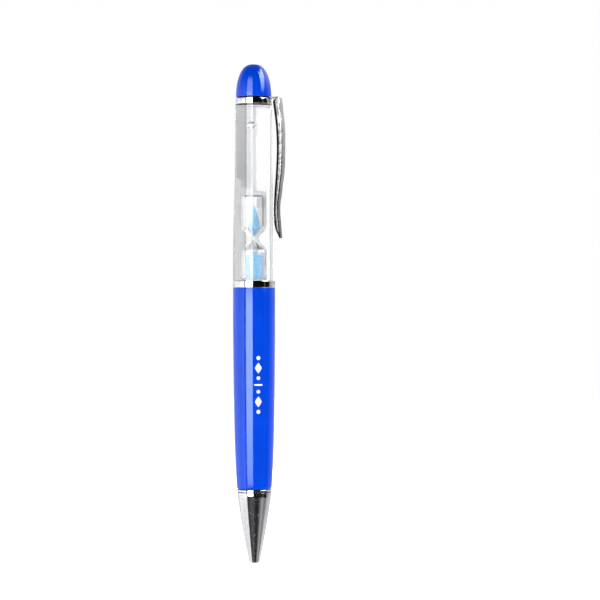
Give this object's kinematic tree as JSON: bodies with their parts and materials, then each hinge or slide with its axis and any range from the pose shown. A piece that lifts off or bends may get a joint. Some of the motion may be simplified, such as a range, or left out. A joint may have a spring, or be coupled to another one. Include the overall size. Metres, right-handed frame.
{
  "type": "hourglass pen",
  "caption": "Twist-action ballpoint pen with a clear liquid-filled upper barrel in which a small glass hourglass sinks slowly, with a chrome nose and a spring clip.",
  "frame": {"origin": "on the pen's axis at the parting plane, where the lower barrel ends and the two halves turn against each other", "axes": "+Z along the pen towards the domed cap, +X towards the pocket clip"},
  "size_m": [0.0146, 0.0118, 0.14],
  "materials": {
    "blue_plastic": "polished lacquer",
    "chrome_trim": "bright plated",
    "clip_steel": "grained",
    "clear_acrylic": "polished clear",
    "clear_oil": "clear liquid",
    "vial_glass": "fire polished",
    "blue_sand": "granular",
    "white_plastic": "moulded",
    "black_plastic": "moulded",
    "black_rubber": "smooth",
    "clear_rubber": "smooth",
    "brass_part": "turned",
    "spring_steel": "drawn wire",
    "ink": "wet"
  },
  "bodies": {
    "lower": {"lower_barrel": "blue_plastic", "nose_insert": "brass_part", "guide_sleeve": "brass_part", "retaining_ring": "spring_steel", "return_spring": "spring_steel"},
    "nose": {"nose_cone": "chrome_trim", "nose_seal": "black_rubber"},
    "refill": {"refill_tube": "white_plastic", "refill_ink": "ink", "refill_point": "brass_part", "refill_ball": "chrome_trim", "refill_vent_plug": "white_plastic", "cam_follower": "black_plastic"},
    "upper": {"clear_barrel": "clear_acrylic", "centre_ring": "chrome_trim", "twist_cam": "white_plastic", "chamber_plug": "white_plastic", "chamber_plug_seal": "black_rubber", "fill_plug": "clear_acrylic", "fill_plug_seal": "clear_rubber", "clear_oil": "clear_oil", "twist_drag_ring": "black_rubber", "cap_ring": "chrome_trim", "clip_bracket": "clip_steel", "end_cap": "blue_plastic"},
    "clip": {"pocket_clip": "clip_steel"},
    "hourglass": {"hourglass_glass": "vial_glass", "sand_upper": "blue_sand", "sand_lower": "blue_sand"}
  },
  "joints": [
    {"name": "twist", "type": "hinge", "parent": "lower", "child": "upper", "pos_m": [0, 0, 0], "axis": [0, 0, -1], "range_deg": [0, 150]},
    {"name": "refill_slide", "type": "slide", "parent": "lower", "child": "refill", "axis": [0, 0, -1], "range_m": [0, 0.0048], "deforming": ["return_spring"]},
    {"name": "hourglass_float", "type": "slide", "parent": "upper", "child": "hourglass", "axis": [0, 0, 1], "range_m": [0, 0.0214], "deforming": ["clear_oil"]},
    {"name": "clip_flex", "type": "hinge", "parent": "upper", "child": "clip", "pos_m": [0.0078, 0, 0.05332], "axis": [0, -1, 0], "range_deg": [0, 5], "stiffness_Nm_per_rad": 0.5, "springref_deg": -1.72},
    {"name": "nose_unscrew", "type": "slide", "parent": "lower", "child": "nose", "axis": [0, 0, -1], "range_m": [0, 0.032]}
  ],
  "couplings": [
    {"joint": "twist", "follows": "refill_slide", "rad_per_m": 545.41}
  ]
}
